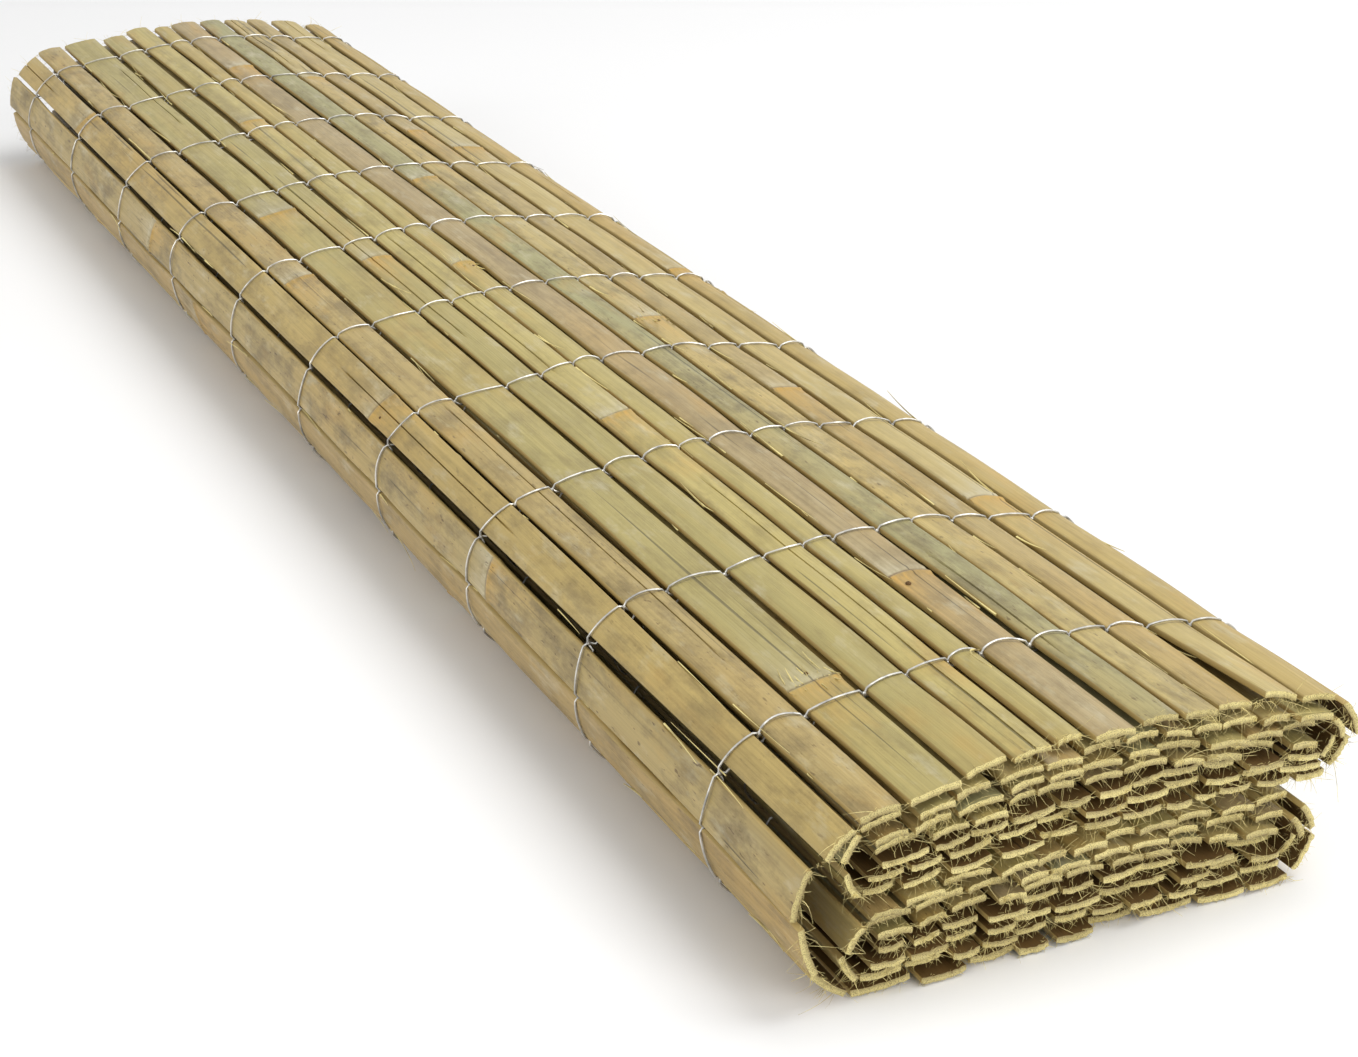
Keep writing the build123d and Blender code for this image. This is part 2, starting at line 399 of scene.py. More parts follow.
def section_loop(slat, rounding, spans):
    """Points round a slat's section: place across, height, and 1 on the skin, 0 at the sides, -1 on the
    inner face.
    """
    half = slat.width / 2
    rim, under = slat.rim, slat.rim - slat.thickness
    across = np.linspace(-(half - rounding), half - rounding, spans + 1)
    heights = slat.height(across)
    loop = [(s, h, 1.0) for s, h in zip(across, heights)]
    loop += [(half, rim - rounding, 0.0), (half, under + rounding, 0.0)]
    loop += [(s, h - slat.thickness, -1.0) for s, h in zip(across[::-1], heights[::-1])]
    loop += [(-half, under + rounding, 0.0), (-half, rim - rounding, 0.0)]
    return np.array(loop)


def split_edges(slat, looks, chance, places):
    """How far the left and the right edge of a slat move to the right at each ring."""
    along = (places - (slat.near + slat.far) / 2) / ((slat.far - slat.near) / 2)
    loose_share = looks.tight_share if slat.node.startswith(TIGHT_SLATS) else 1.0
    taper = looks.taper * loose_share
    shrink = looks.shrink * loose_share
    bow = wander(chance, places, looks.bow, 2) * loose_share
    left = bow + wander(chance, places, looks.edge_wave, 4) + chance.uniform(-0.4, 1) * taper * along
    right = bow + wander(chance, places, looks.edge_wave, 4) + chance.uniform(-1, 0.4) * taper * along
    left_gap, right_gap = WIDE_GAPS.get(slat.node, (0.0, 0.0))
    nearness = ((1 - along) / 2) ** 2
    left = np.maximum(left + shrink + left_gap * MM * nearness, -looks.room)
    right = np.minimum(right - shrink - right_gap * MM * nearness, looks.room)
    return left, right


def node_forms(looks, chance, places, across, nodes):
    """Rise of the skin at the bamboo nodes, and where it is golden, waxy and scarred."""
    rise = np.zeros((len(places), len(across)))
    gold, wax, scar = rise.copy(), rise.copy(), rise.copy()
    for node in nodes:
        square = chance.uniform(-1, 1) * across + chance.uniform(-1, 1) * (1 - across**2)
        away = (places[:, None] - node - looks.node_bend * square) / looks.node_length
        ridge = sum(high * np.exp(-((away - place) ** 2) * sharp) for high, place, sharp in NODE_BUMPS)
        rise += chance.uniform(0.7, 1.1) * looks.node_rise * ridge
        fade = away * (1 + 0.35 * np.sin(across * chance.uniform(2, 5) + chance.uniform(0, 6)))
        golden = chance.uniform(0.65, 1.0) * np.exp(-np.maximum(0, -fade) / 8.0) * (away < 0.3)
        waxy = chance.uniform(0.6, 0.95) * np.exp(-np.maximum(0, fade - 1.2) / 4.5) * (away > 0.9)
        gold = np.maximum(gold, golden)
        wax = np.maximum(wax, waxy)
        scar = np.maximum(scar, np.exp(-((away - 0.75) ** 2) * 9))
    return rise, gold, wax, scar


def open_clefts(slat, looks, chance, places, spans, s, h):
    """Opens up to two splits along the skin of a slat."""
    for _ in range(chance.choice((0, 1, 1, 2))):
        column = chance.randint(3, spans - 3)
        start = chance.uniform(slat.near - 80 * MM, slat.far - 60 * MM)
        end = start + chance.uniform(60, 320) * MM
        open_here = np.clip(np.minimum(places - start, end - places) / CLEFT_FADE, 0, 1)
        h[:, column] -= looks.cleft_depth * open_here
        for beside in (-1, 1):
            lip = s[:, column] + beside * looks.cleft_width / 2
            s[:, column + beside] += (lip - s[:, column + beside]) * open_here


def ragged_rings(looks, chance, places, across):
    """Places of the mesh corners along a slat, with its ends slanted and broken."""
    size = len(across)
    y = np.repeat(places[:, None], size, 1)
    for way, rings in ((-1, (0, 1, 2)), (1, (-1, -2, -3))):
        slant = chance.uniform(-1, 1)
        broken = [chance.uniform(-looks.ragged, looks.ragged * 0.4) for _ in range(size)]
        y[rings[0]] += way * np.array(broken)
        for ring in rings:
            y[ring] -= way * looks.slant * (slant * across + abs(slant)) / 2
    return y


def end_cap(start, spans):
    """Faces that close a slat's end, on a loop of corners that begins at the given number."""
    low = spans + 3
    cap = []
    for k in range(spans):
        cap.append([start + k, start + k + 1, start + low + spans - k - 1, start + low + spans - k])
    cap.append([start + spans, start + spans + 1, start + spans + 2, start + low])
    cap.append([start + low + spans, start + low + spans + 1, start + low + spans + 2, start])
    return np.array(cap)


def slat_mesh(slat, looks, colours, fine):
    """Corners, faces and looks of one detailed slat."""
    chance = random.Random(1000 + slat.seed)
    tint, nodes = slat_skin(slat, chance, colours)
    places = ring_places(slat, nodes, looks.ring_step if fine else looks.inner_ring_step)
    spans = 12 if fine else 8
    half = slat.width / 2
    loop = section_loop(slat, looks.edge_round, spans)
    size = len(loop)
    across = loop[:, 0] / half
    left, right = split_edges(slat, looks, chance, places)
    ridge, gold, wax, scar = node_forms(looks, chance, places, across, nodes)
    swell = NODE_SWELL * np.minimum(ridge.max(1) / looks.node_rise, 1)
    left -= swell
    right += swell
    held = np.ones_like(places)
    for row in WIRE_ROWS:
        held *= 1 - np.exp(-(((places - row) / WIRE_HOLD) ** 2))
    freedom = looks.lift if fine else looks.inner_lift
    rise = held * wander(chance, places, 0.0 if slat.node.startswith("bottom_slat") else freedom, 3)
    twist = held * wander(chance, places, looks.twist if fine else looks.inner_twist, 3)
    share = (across + 1) / 2
    s = loop[None, :, 0] + left[:, None] * (1 - share) + right[:, None] * share
    h = loop[None, :, 1] + ridge * np.clip(loop[None, :, 2], -0.5, 1)
    h = h + (np.abs(rise) if fine else rise)[:, None] + s * np.sin(twist)[:, None]
    free_end = np.clip((WIRE_ROWS[0] - places) / (WIRE_ROWS[0] - slat.near), 0, 1)
    loose = LOOSE_SLATS.get(slat.node, 0.0) * free_end
    h = h + (half - s) * np.sin(loose)[:, None]
    if fine:
        open_clefts(slat, looks, chance, places, spans, s, h)
    y = ragged_rings(looks, chance, places, across)
    flat = slat.middle[None, None] + s[..., None] * slat.along + h[..., None] * slat.out
    corners = np.stack([flat[..., 0], y, np.maximum(flat[..., 1], 0.0)], -1).reshape(-1, 3)
    rings = len(places)
    ring, step = np.meshgrid(np.arange(rings - 1), np.arange(size), indexing="ij")
    after = (step + 1) % size
    faces = np.stack(
        [ring * size + step, (ring + 1) * size + step, (ring + 1) * size + after, ring * size + after], -1
    ).reshape(-1, 4)
    looks_of = {
        "skin": np.tile(loop[:, 2], rings),
        "gold": gold.ravel(),
        "wax": wax.ravel(),
        "scar": scar.ravel(),
        "end": np.zeros(rings * size),
    }
    cap_looks = {"end": np.ones(size), "skin": loop[:, 2]}
    for base, far in ((0, False), ((rings - 1) * size, True)):
        cap = end_cap(len(corners), spans)
        corners = np.concatenate([corners, corners[base:base + size]])
        faces = np.concatenate([faces, cap[:, ::-1] if far else cap])
        for name in looks_of:
            looks_of[name] = np.concatenate([looks_of[name], cap_looks.get(name, np.zeros(size))])
    looks_of["tint"] = np.repeat(np.append(tint, 1.0)[None], len(corners), 0)
    looks_of["shift"] = np.full(len(corners), chance.uniform(0, 40))
    stained = 0.6 if slat.node.startswith("left_side") else 0.0
    looks_of["stain"] = np.full(len(corners), chance.uniform(stained, 1.0))
    return corners, faces, looks_of


def join(parts):
    """One set of corners, faces and looks from those of several slats."""
    start = 0
    faces = []
    for corners, quads, _ in parts:
        faces.append(quads + start)
        start += len(corners)
    looks = {name: np.concatenate([part[2][name] for part in parts]) for name in parts[0][2]}
    return np.concatenate([part[0] for part in parts]), np.concatenate(faces), looks


def add_object(name, data):
    """A new object in the scene."""
    thing = bpy.data.objects.new(name, data)
    bpy.context.scene.collection.objects.link(thing)
    return thing


def make_piece(name, corners, faces, looks, surface, nodes, slot):
    """A mesh piece of the bundle, in the frame's place, for the nodes that it stands for."""
    mesh = bpy.data.meshes.new(name)
    mesh.from_pydata(corners.tolist(), [], faces.tolist())
    for key, values in looks.items():
        kind = "FLOAT_COLOR" if values.ndim == 2 else "FLOAT"
        attribute = mesh.attributes.new(key, kind, "POINT")
        field = "color" if kind == "FLOAT_COLOR" else "value"
        attribute.data.foreach_set(field, values.astype(np.float32).ravel())
    mesh.shade_smooth()
    mesh.set_sharp_from_angle(angle=math.radians(50))
    mesh.materials.append(surface)
    piece = add_object(name, mesh)
    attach(piece, "root")
    if nodes:
        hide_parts(*nodes)
    return piece


class Nodes:
    """Short hand for laying out the nodes of a material or of the world."""

    def __init__(self, name, kind="materials"):
        self.owner = getattr(bpy.data, kind).new(name)
        self.owner.use_nodes = True
        self.tree = self.owner.node_tree

    def new(self, kind, **settings):
        node = self.tree.nodes.new(kind)
        for key, value in settings.items():
            setattr(node, key, value)
        return node

    def put(self, socket, value):
        if isinstance(value, bpy.types.NodeSocket):
            self.tree.links.new(value, socket)
        elif socket.type == "RGBA" and len(value) == 3:
            socket.default_value = (*value, 1)
        else:
            socket.default_value = value

    def fill(self, node, *values):
        """Puts values into a node's inputs in their order, and gives its first output."""
        for socket, value in zip(node.inputs, values):
            self.put(socket, value)
        return node.outputs[0]

    def named(self, node, **values):
        """Puts values into a node's inputs by their names."""
        for name, value in values.items():
            self.put(node.inputs[name], value)

    def look(self, name, value):
        """Sets one of the surface's inputs."""
        self.put(self.tree.nodes["Principled BSDF"].inputs[name], value)

    def value(self, name, output="Fac"):
        return self.new("ShaderNodeAttribute", attribute_name=name).outputs[output]

    def place(self):
        return self.new("ShaderNodeTexCoord").outputs["Object"]

    def seen(self):
        """1 for rays that show the stage itself, 0 for those that only carry its light."""
        path = self.new("ShaderNodeLightPath").outputs
        seen = self.math("MAXIMUM", path["Is Camera Ray"], path["Is Glossy Ray"])
        return self.math("MAXIMUM", seen, path["Is Transmission Ray"])

    def math(self, operation, *values):
        return self.fill(self.new("ShaderNodeMath", operation=operation, use_clamp=False), *values)

    def ramp(self, value, low, high, to_low=0.0, to_high=1.0):
        return self.fill(self.new("ShaderNodeMapRange", clamp=True), value, low, high, to_low, to_high)

    def mix(self, share, first, second, blend="MIX"):
        node = self.new("ShaderNodeMix", data_type="RGBA", blend_type=blend, clamp_factor=True)
        self.put(node.inputs[0], share)
        self.put(node.inputs[6], first)
        self.put(node.inputs[7], second)
        return node.outputs[2]

    def noise(self, place, scale, detail=3.0, rough=0.55):
        """Noise with its own scale along each axis."""
        stretched = self.fill(self.new("ShaderNodeVectorMath", operation="MULTIPLY"), place, scale)
        node = self.new("ShaderNodeTexNoise")
        self.named(node, Vector=stretched, Scale=1.0, Detail=detail, Roughness=rough)
        return node.outputs["Fac"]


def bamboo_material(colours):
    """Split bamboo: streaked skin, warm and waxy nodes, paler split sides, fibrous ends."""
    n = Nodes("Split bamboo")
    shift = n.fill(n.new("ShaderNodeCombineXYZ"), 0.0, n.value("shift"))
    place = n.fill(n.new("ShaderNodeVectorMath", operation="ADD"), n.place(), shift)
    fibre = n.noise(place, (1500, 9, 1500), 4.0, 0.6)
    streak = n.noise(place, (420, 5, 420), 3.0)
    blotch = n.noise(place, (70, 11, 70), 4.0, 0.6)
    cloud = n.noise(place, (30, 4.2, 30), 2.0)
    speck = n.noise(place, (700, 160, 700), 2.0)
    split = n.noise(place, (480, 2.2, 480), 1.0, 0.4)
    pits = n.noise(place, (2600, 2600, 2600), 1.0)
    skin = n.value("skin")
    tint = n.value("tint", "Color")
    stain = n.value("stain")
    warm = n.mix(0.55, tint, colours.node_gold)
    colour = n.mix(n.ramp(cloud, 0.5, 0.72, 0.0, 0.55), tint, warm)
    pale = n.mix(0.5, tint, colours.node_wax)
    colour = n.mix(n.ramp(blotch, 0.56, 0.78, 0.0, 0.6), colour, pale)
    dull = n.mix(0.45, tint, colours.pith)
    colour = n.mix(n.ramp(blotch, 0.44, 0.27, 0.0, 0.6), colour, dull)
    golden = n.math("MULTIPLY", n.value("gold"), n.ramp(streak, 0.25, 0.6, 0.45, 1.0))
    colour = n.mix(golden, colour, colours.node_gold)
    waxy = n.math("MULTIPLY", n.value("wax"), n.ramp(streak, 0.3, 0.6, 0.5, 1.0))
    colour = n.mix(waxy, colour, colours.node_wax)
    scarred = n.math("MULTIPLY", n.value("scar"), n.ramp(fibre, 0.3, 0.65, 0.35, 0.95))
    colour = n.mix(scarred, colour, colours.node_scar)
    grime = n.noise(place, (170, 42, 170), 5.0, 0.65)
    grimy = n.math("MULTIPLY", n.ramp(grime, 0.48, 0.34), n.ramp(stain, 0.0, 1.0, 0.25, 0.7))
    colour = n.mix(grimy, colour, dull)
    patch = n.noise(place, (75, 30, 75), 6.0, 0.7)
    soiled = n.math("MULTIPLY", n.ramp(patch, 0.48, 0.66), n.ramp(stain, 0.1, 1.0, 0.25, 0.95))
    colour = n.mix(soiled, colour, n.mix(0.72, tint, colours.dirt))
    bloom = n.noise(place, (110, 38, 110), 5.0, 0.65)
    colour = n.mix(n.ramp(bloom, 0.56, 0.74, 0.0, 0.55), colour, colours.node_wax)
    rust = n.noise(place, (50, 14, 50), 4.0, 0.6)
    colour = n.mix(n.ramp(rust, 0.57, 0.75, 0.0, 0.5), colour, colours.node_gold)
    spots = n.math("MULTIPLY", n.ramp(speck, 0.66, 0.72), n.ramp(stain, 0.35, 1.0, 0.0, 0.75))
    colour = n.mix(spots, colour, colours.pith)
    sides = n.mix(n.ramp(fibre, 0.35, 0.7, 0.0, 0.5), colours.cut_wood, colours.brown)
    # Inner faces take the darkened inside colour, partly dust and partly painted shade in the gaps between
    # slats, streaked with the scar colour
    inner = n.mix(n.ramp(fibre, 0.35, 0.7, 0.0, 0.6), colours.inside, colours.node_scar)
    colour = n.mix(n.ramp(skin, 0.75, 0.25), colour, sides)
    colour = n.mix(n.ramp(skin, -0.3, -0.8), colour, inner)
    shade = n.ramp(fibre, 0.28, 0.72, 0.89, 1.07)
    shade = n.math("MULTIPLY", shade, n.ramp(streak, 0.3, 0.7, 0.88, 1.07))
    cracks = n.ramp(split, 0.25, 0.285, 0.45, 1.0)
    shade = n.math("MULTIPLY", shade, cracks)
    grey = n.fill(n.new("ShaderNodeCombineColor"), shade, shade, shade)
    colour = n.mix(1.0, colour, grey, "MULTIPLY")
    ends = n.mix(n.ramp(pits, 0.5, 0.72, 0.0, 0.75), colours.end_grain, colours.node_scar)
    ends = n.mix(n.ramp(stain, 0.3, 1.0, 0.0, 0.3), ends, colours.inside)
    # Towards their inner side the end faces take that darkened inner colour, and with it its painted shade
    ends = n.mix(n.ramp(skin, 0.2, -1.0, 0.0, 0.6), ends, inner)
    colour = n.mix(n.value("end"), colour, ends)
    n.look("Base Color", colour)
    n.look("Roughness", n.ramp(fibre, 0.3, 0.7, 0.56, 0.40))
    n.look("Specular IOR Level", 0.4)
    relief = n.math("ADD", n.math("MULTIPLY", fibre, 0.7), n.math("MULTIPLY", cracks, 0.8))
    relief = n.math("ADD", relief, n.math("MULTIPLY", n.math("MULTIPLY", pits, n.value("end")), 2.0))
    bump = n.new("ShaderNodeBump")
    n.named(bump, Strength=0.5, Distance=0.0004, Height=relief)
    n.look("Normal", bump.outputs[0])
    return n.owner


def fibre_material(colours):
    """Loose fibres at the frayed ends."""
    n = Nodes("Frayed fibre")
    place = n.place()
    tone = n.noise(place, (300, 40, 300), 2.0)
    colour = n.mix(n.ramp(tone, 0.42, 0.8), colours.end_grain, colours.inside)
    n.look("Base Color", colour)
    n.look("Roughness", 0.7)
    return n.owner


def bud_material(colours):
    """Bud scars and knots, dark and crumbled."""
    n = Nodes("Bud scar")
    place = n.place()
    tone = n.noise(place, (1400, 1400, 1400), 3.0)
    n.look("Base Color", n.mix(n.ramp(tone, 0.35, 0.65), colours.pith, colours.node_scar))
    n.look("Roughness", 0.85)
    return n.owner


def wire_material(colours):
    """Galvanised wire, dulled in patches."""
    n = Nodes("Galvanised wire")
    place = n.place()
    patch = n.noise(place, (160, 160, 160), 4.0, 0.6)
    dark = tuple(value * 0.45 for value in colours.zinc)
    n.look("Base Color", n.mix(n.ramp(patch, 0.4, 0.68), colours.zinc, dark))
    n.look("Roughness", n.ramp(patch, 0.3, 0.7, 0.3, 0.55))
    n.look("Metallic", 0.8)
    return n.owner


def material(name, maker):
    """The named material, made on first use."""
    found = bpy.data.materials.get(name)
    return found or maker(bpy.context.scene.screening_colours)


def outer_slats():
    """The slats of the outermost turn by name, in the order in which the mat runs."""
    slats = {slat.node: slat for slat in MAT if slat.outer}
    if not slats:
        raise RuntimeError("the frame has no outer slats")
    return slats


class SCREENING_OT_outer_slats(bpy.types.Operator):
    """Make each slat of the outermost turn, with its bamboo nodes and uneven edges"""

    bl_idname = "screening.outer_slats"
    bl_label = "Outer slats"

    def execute(self, context):
        scene = context.scene
        bamboo = material("Split bamboo", bamboo_material)
        for slat in outer_slats().values():
            parts = slat_mesh(slat, scene.screening_slats, scene.screening_colours, True)
            make_piece(slat.node + "_split", *parts, bamboo, [slat.node], "bamboo")
        return {"FINISHED"}


class SCREENING_OT_inner_courses(bpy.types.Operator):
    """Make the slats of the inner layers, one piece for each layer"""

    bl_idname = "screening.inner_courses"
    bl_label = "Inner courses"

    def execute(self, context):
        looks = context.scene.screening_slats
        colours = context.scene.screening_colours
        bamboo = material("Split bamboo", bamboo_material)
        courses = {}
        for slat in MAT:
            if not slat.outer:
                courses.setdefault(slat.node, []).append(slat)
        if not courses:
            raise RuntimeError("the frame has no inner layers")
        for node, slats in courses.items():
            parts = [slat_mesh(slat, looks, colours, False) for slat in slats]
            make_piece(node + "_splits", *join(parts), bamboo, [node], "bamboo")
        return {"FINISHED"}


# Direction by which a strand's rings are turned, and the one used instead where the strand runs along it
USUAL_SIDE = (0.11, 0.97, 0.21)
OTHER_SIDE = (0.97, 0.0, 0.24)


def tube(points, radius, sides, taper=1.0):
    """Corners and faces of a round strand along some points, none of it lower than the floor."""
    points = np.array(points)
    points[:, 2] = np.maximum(points[:, 2], radius)
    forward = np.gradient(points, axis=0)
    forward /= np.linalg.norm(forward, axis=1)[:, None] + 1e-12
    side = np.cross(forward, USUAL_SIDE)
    bad = np.linalg.norm(side, axis=1) < 0.2
    side[bad] = np.cross(forward[bad], OTHER_SIDE)
    side /= np.linalg.norm(side, axis=1)[:, None]
    up = np.cross(side, forward)
    turn = np.arange(sides) * 2 * math.pi / sides
    size = radius * np.linspace(1.0, taper, len(points))[:, None, None]
    ring = side[:, None] * np.cos(turn)[None, :, None] + up[:, None] * np.sin(turn)[None, :, None]
    corners = (points[:, None] + size * ring).reshape(-1, 3)
    k, j = np.meshgrid(np.arange(len(points) - 1), np.arange(sides), indexing="ij")
    after = (j + 1) % sides
    faces = np.stack([k * sides + j, k * sides + after, (k + 1) * sides + after, (k + 1) * sides + j], -1)
    return corners, faces.reshape(-1, 4), {}


def strand_points(row, wire, fine):
    """Points of the strands over and behind the slats, of the outermost turn or of the inner layers."""
    thick = wire.diameter / 2
    chance = random.Random(round(row / MM))
    over, behind = [], []
    knot = 0.0
    for slat, after in zip(MAT, MAT[1:] + [None]):
        if slat.outer != fine:
            continue
        half = slat.width / 2
        next_knot = chance.gauss(0, wire.stray)
        belly = chance.gauss(0, wire.stray)
        slack = chance.uniform(0.1, 1.0) * wire.slack
        if not fine or slat.node.startswith("bottom_slat"):
            slack = 0.0
        for share in np.linspace(-0.94, 0.94, 9 if fine else 4):
            place = share * half
            arch = 1 - share**2
            y = row + knot + (next_knot - knot) * (share + 1) / 2 + belly * arch
            over.append(slat.point(place, slat.height(place) + thick * 1.05 + slack * arch, y))
        low = slat.rim - slat.thickness
        for place in (-half * 0.9, 0.0, half * 0.9):
            behind.append(slat.point(place, low - thick * 0.6, row))
        if after is None or after.outer != fine:
            continue
        knot = next_knot
        start = slat.point(half + thick, slat.rim - slat.thickness / 2, row + knot)
        end = after.point(-after.width / 2 - thick, after.rim - after.thickness / 2, row + knot)
        if not fine:
            over.append((start + end) / 2)
            continue
        out = slat.up + after.up
        out /= np.linalg.norm(out)
        aside = np.array((0.0, 1.0, 0.0))
        for share in np.linspace(0, 1, 9):
            angle = 2 * math.pi * wire.turns * share
            arm = thick * (out * math.cos(angle) + aside * math.sin(angle))
            heart = start + (end - start) * share
            over.append(heart + arm)
            behind.append(heart - arm)
    return over, behind


class SCREENING_OT_stitch_wires(bpy.types.Operator):
    """Make each row of wire: a strand over the slats and one behind them, twisted in every gap"""

    bl_idname = "screening.stitch_wires"
    bl_label = "Stitch wires"

    def execute(self, context):
        wire = context.scene.screening_wire
        zinc = material("Galvanised wire", wire_material)
        names = sorted(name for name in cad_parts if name.startswith("stitch_wire"))
        if not names:
            raise RuntimeError("the frame has no wire")
        radius = wire.diameter / 2
        lower_slats = [slat.outer for slat in MAT].index(True)
        lower_points = INNER_POINTS * lower_slats - 1
        for name, row in zip(names, WIRE_ROWS):
            over, behind = strand_points(row, wire, True)
            inner, _ = strand_points(row, wire, False)
            parts = [tube(over, radius, 6), tube(behind, radius, 6)]
            parts += [tube(inner[:lower_points], radius, 4), tube(inner[lower_points:], radius, 4)]
            make_piece(name + "_twisted", *join(parts), zinc, [name], "wire")
        return {"FINISHED"}


class SCREENING_OT_end_fibres(bpy.types.Operator):
    """Make the loose fibres that stand out of the sawn ends of the slats"""

    bl_idname = "screening.end_fibres"
    bl_label = "End fibres"

    def execute(self, context):
        looks = context.scene.screening_slats
        straw = material("Frayed fibre", fibre_material)
        for label, way in (("near", -1), ("far", 1)):
            chance = random.Random(71 + way)
            parts = []
            for slat in MAT:
                long_ones = 0 if slat.node.startswith(FLOOR_SLATS) else looks.fibres
                for number in range(long_ones + looks.stubble):
                    long = number < long_ones
                    place = chance.uniform(-0.48, 0.48) * slat.width
                    depth = chance.uniform(0.05, 0.95) * slat.thickness
                    y = (slat.near if way < 0 else slat.far) - way * FIBRE_ROOT
                    start = slat.point(place, slat.height(place) - depth, y)
                    size = looks.fibre_length * chance.uniform(0.3, 1.0) ** 2 if long else 0.0
                    size += chance.uniform(1.6, 2.8) * MM
                    sideways, outwards = chance.gauss(0, 0.75), way * chance.uniform(0.4, 1.0)
                    lean = np.array((sideways, outwards, chance.gauss(-0.1, 0.55)))
                    curl = np.array((chance.gauss(0, 0.9), -0.5 * way, chance.gauss(-0.4, 0.8)))
                    steps = np.linspace(0, 1, 5 if long else 3)[:, None]
                    points = start + size * (steps * lean + steps**2 * curl * 0.5)
                    radius = looks.fibre_width / 2 * chance.uniform(0.6, 1.4)
                    parts.append(tube(points, radius, 3, 0.35))
            if not parts:
                raise RuntimeError("no fibres were made")
            make_piece(label + "_end_fibres", *join(parts), straw, [], "bamboo")
        return {"FINISHED"}


def bud_mesh(slat, place, y, size, chance):
    """Corners and faces of a bud scar: a low uneven mound on the skin side."""
    rings, sides = 5, 12
    corners, faces = [], []
    for ring in range(rings + 1):
        tilt = math.pi / 2 * ring / rings
        for k in range(sides):
            turn = 2 * math.pi * k / sides
            wide = size / 2 * math.sin(tilt) * chance.uniform(0.85, 1.1)
            across = place + wide * math.cos(turn) * 0.75
            high = slat.height(across) - 0.1 * MM + size * 0.3 * (math.cos(tilt) - 0.5 * (ring == 0))
            corners.append(slat.point(across, high, y + wide * math.sin(turn)))
    for ring in range(rings):
        for k in range(sides):
            after = (k + 1) % sides
            here, below = ring * sides, (ring + 1) * sides
            faces.append([here + k, below + k, below + after, here + after])
    return np.array(corners), np.array(faces), {}


class SCREENING_OT_node_buds(bpy.types.Operator):
    """Make the dark bud scars and knots on the outer slats"""

    bl_idname = "screening.node_buds"
    bl_label = "Node buds"

    def execute(self, context):
        chance = random.Random(43)
        slats = outer_slats()
        parts = []
        for node, place, share, size in SEEN_BUDS:
            if node in slats:
                slat = slats[node]
                parts.append(bud_mesh(slat, place * slat.width, slat.at(share), size * MM, chance))
        if not parts:
            raise RuntimeError("the frame has none of the slats that carry buds")
        make_piece("node_buds", *join(parts), material("Bud scar", bud_material), [], "bamboo")
        return {"FINISHED"}


class SCREENING_OT_edge_splinters(bpy.types.Operator):
    """Make the thin splinters that stand off the split edges of the outer slats"""

    bl_idname = "screening.edge_splinters"
    bl_label = "Edge splinters"

    def execute(self, context):
        looks = context.scene.screening_slats
        straw = material("Frayed fibre", fibre_material)
        chance = random.Random(19)
        slats = outer_slats()
        parts = []
        for name, slat in slats.items():
            if name.startswith(("top_slat", "left_side_slat", "upper_nose_slat")):
                parts += [self.splinter(slat, looks, chance) for _ in range(looks.splinters)]
        for name, share in FRAYED_NODES:
            parts += [self.fray(slats[name], share, looks, chance) for _ in range(looks.frayed)]
        parts.append(self.curl(slats[CURLED_SLAT]))
        make_piece("edge_splinters", *join(parts), straw, [], "bamboo")
        return {"FINISHED"}

    def splinter(self, slat, looks, chance):
        """A splinter along a split edge, with its tip off the slat."""
        side = chance.choice((-1, 1))
        y = chance.uniform(slat.near + 20 * MM, slat.far - 60 * MM)
        size = chance.uniform(0.2, 1.0) ** 2 * looks.splinter_length
        start = slat.point(side * slat.width * 0.495, slat.rim - 0.3 * MM, y)
        rise = size * chance.uniform(0.02, 0.12)
        drift = side * size * chance.uniform(-0.04, 0.09)
        across = np.array((slat.along[0], 0.0, slat.along[1])) * drift
        out = slat.up * rise
        steps = np.linspace(0, 1, 7)[:, None]
        points = start + steps * (0.0, chance.choice((-1, 1)) * size, 0.0)
        points = points + steps**1.6 * (across + out)
        return tube(points, looks.fibre_width * chance.uniform(0.7, 2.2), 4, 0.25)

    def fray(self, slat, share, looks, chance):
        """A splinter that stands up from a broken node."""
        y = slat.at(share) + chance.uniform(-4, 4) * MM
        place = chance.uniform(-0.45, 0.45) * slat.width
        start = slat.point(place, slat.height(place) - 0.1 * MM, y)
        size = chance.uniform(3, 11) * MM
        tip = slat.point(place + chance.gauss(0, 0.12) * size, slat.height(place), y) - start
        steps = np.linspace(0, 1, 5)[:, None]
        points = start + steps * (tip + np.array((0.0, chance.choice((-1, 1)) * size, 0.0)))
        points = points + steps**2 * slat.up * size * chance.uniform(0.05, 0.3)
        return tube(points, looks.fibre_width * chance.uniform(0.8, 1.9), 4, 0.3)

    def curl(self, slat):
        """The loose end of fibre that curls back at the near row of wire."""
        wide, high, long, radius = 7 * MM, 3 * MM, 9 * MM, 0.35 * MM
        points = []
        for turn in np.linspace(0, math.pi * 0.75, 12):
            place = slat.width / 2 - wide * math.sin(turn)
            height = slat.rim + 0.8 * MM + high * math.sin(turn)
            points.append(slat.point(place, height, WIRE_ROWS[0] - long * (1 - math.cos(turn))))
        return tube(points, radius, 6, 0.6)


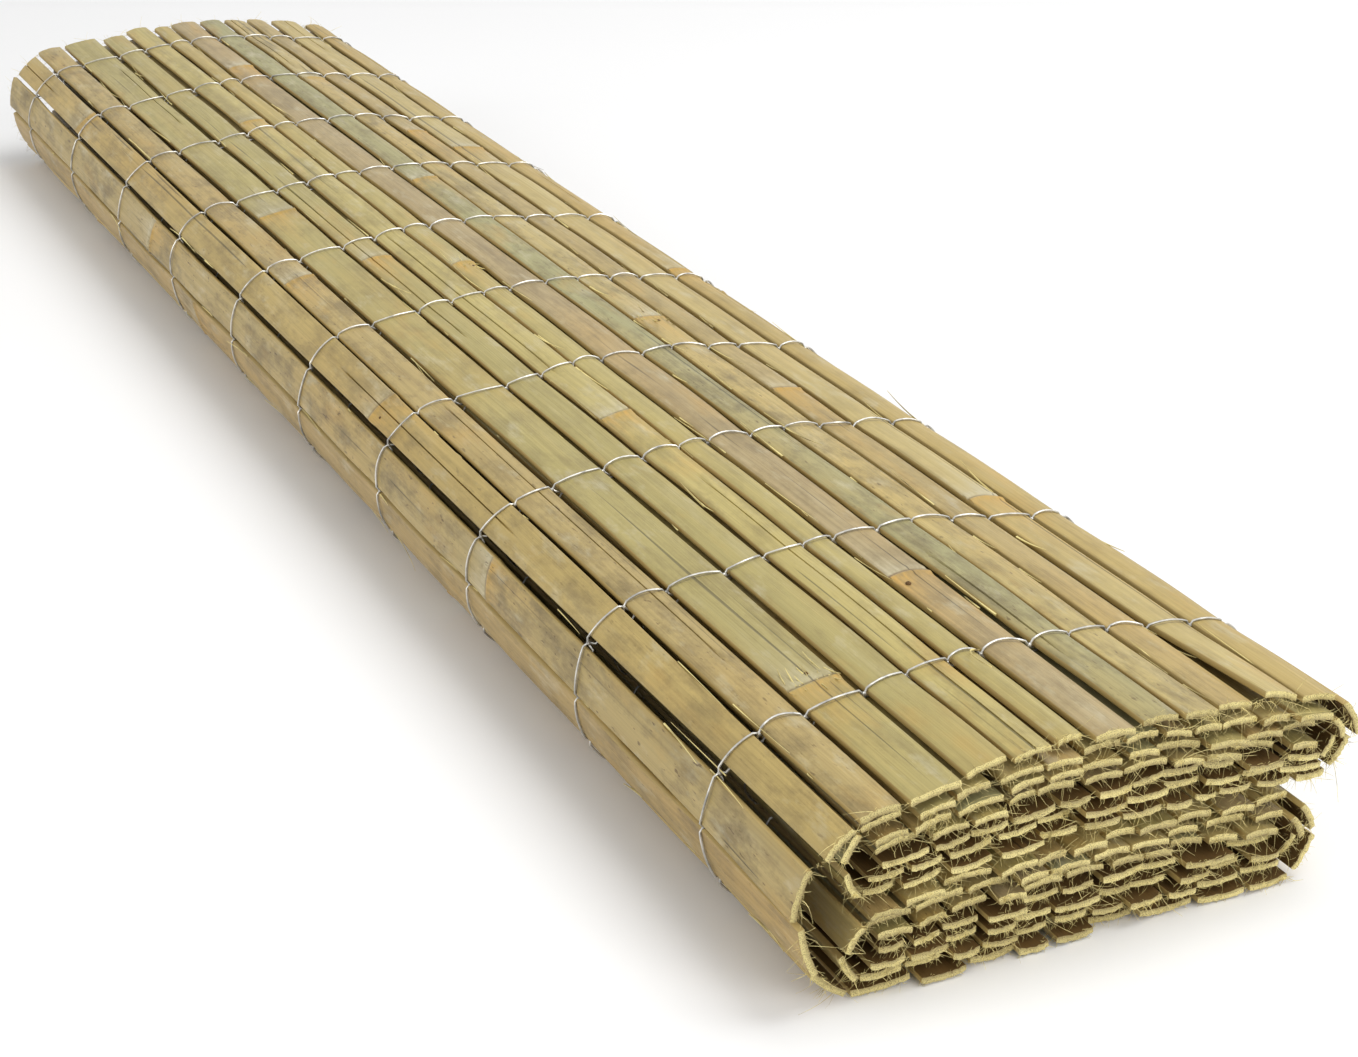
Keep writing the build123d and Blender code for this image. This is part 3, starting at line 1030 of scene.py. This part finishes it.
class SCREENING_OT_stage(bpy.types.Operator):
    """Set up the pale floor, the lamps and the camera"""

    bl_idname = "screening.stage"
    bl_label = "Stage"

    def execute(self, context):
        scene = context.scene
        stage = scene.screening_stage
        n = Nodes("Studio floor")
        n.look("Base Color", n.mix(n.seen(), tuple(stage.floor), (1.0, 1.0, 1.0)))
        n.look("Roughness", 0.9)
        n.look("Specular IOR Level", 0.1)
        mesh = bpy.data.meshes.new("studio_floor")
        half = FLOOR_HALF
        corners = [(-half, -half, 0), (half, -half, 0), (half, half, 0), (-half, half, 0)]
        mesh.from_pydata(corners, [], [(0, 1, 2, 3)])
        mesh.materials.append(n.owner)
        floor = add_object("studio_floor", mesh)
        for name, power, size, place in LAMPS:
            self.lamp(name, getattr(stage, power), size, place)
        self.sky(scene, stage.sky)
        camera = bpy.data.cameras.new("camera")
        camera.lens = stage.lens
        camera.sensor_width = stage.sensor
        viewer = add_object("camera", camera)
        viewer.location = stage.place
        viewer.rotation_euler = (math.pi / 2 - stage.down, 0, -stage.side)
        scene.camera = viewer
        scene.view_settings.view_transform = "Standard"
        return {"FINISHED"}

    def lamp(self, name, power, size, place):
        """A soft square lamp that faces the bundle."""
        data = bpy.data.lights.new(name, "AREA")
        data.energy = power
        data.size = size
        lamp = add_object(name, data)
        lamp.location = place
        far = np.linalg.norm(place)
        lamp.rotation_euler = (math.acos(place[2] / far), 0, math.atan2(place[1], place[0]) + math.pi / 2)

    def sky(self, scene, strength):
        """Soft light from all round, seen as plain white."""
        n = Nodes("studio", "worlds")
        soft, white = n.tree.nodes["Background"], n.new("ShaderNodeBackground")
        n.named(soft, Color=(1, 1, 1), Strength=strength)
        n.named(white, Color=(1, 1, 1))
        either = n.fill(n.new("ShaderNodeMixShader"), n.seen(), soft.outputs[0], white.outputs[0])
        n.named(n.tree.nodes["World Output"], Surface=either)
        scene.world = n.owner


class SCREENING_PT_panel(bpy.types.Panel):
    """Lists the steps that dress the bundle."""

    bl_idname = "SCREENING_PT_panel"
    bl_label = "Split bamboo screening"
    bl_space_type = "VIEW_3D"
    bl_region_type = "UI"
    bl_category = "Screening"

    def draw(self, context):
        for step in STEPS:
            self.layout.operator(step.bl_idname)
        for group in GROUPS:
            settings = getattr(context.scene, group)
            for name in settings.bl_rna.properties.keys():
                if name not in ("rna_type", "name"):
                    self.layout.prop(settings, name)


GROUPS = {
    "screening_colours": ScreeningColours,
    "screening_slats": ScreeningSlats,
    "screening_wire": ScreeningWire,
    "screening_stage": ScreeningStage,
}
STEPS = (
    SCREENING_OT_outer_slats,
    SCREENING_OT_inner_courses,
    SCREENING_OT_stitch_wires,
    SCREENING_OT_end_fibres,
    SCREENING_OT_node_buds,
    SCREENING_OT_edge_splinters,
    SCREENING_OT_stage,
)


def register():
    for group in GROUPS.values():
        bpy.utils.register_class(group)
    for name, group in GROUPS.items():
        setattr(bpy.types.Scene, name, bpy.props.PointerProperty(type=group))
    for step in (*STEPS, SCREENING_PT_panel):
        bpy.utils.register_class(step)


def unregister():
    for step in (SCREENING_PT_panel, *reversed(STEPS)):
        bpy.utils.unregister_class(step)
    for name in GROUPS:
        delattr(bpy.types.Scene, name)
    for group in GROUPS.values():
        bpy.utils.unregister_class(group)


def main():
    register()
    bpy.ops.screening.outer_slats()
    bpy.ops.screening.inner_courses()
    bpy.ops.screening.stitch_wires()
    bpy.ops.screening.end_fibres()
    bpy.ops.screening.node_buds()
    bpy.ops.screening.edge_splinters()
    bpy.ops.screening.stage()


if __name__ == "__main__":
    main()
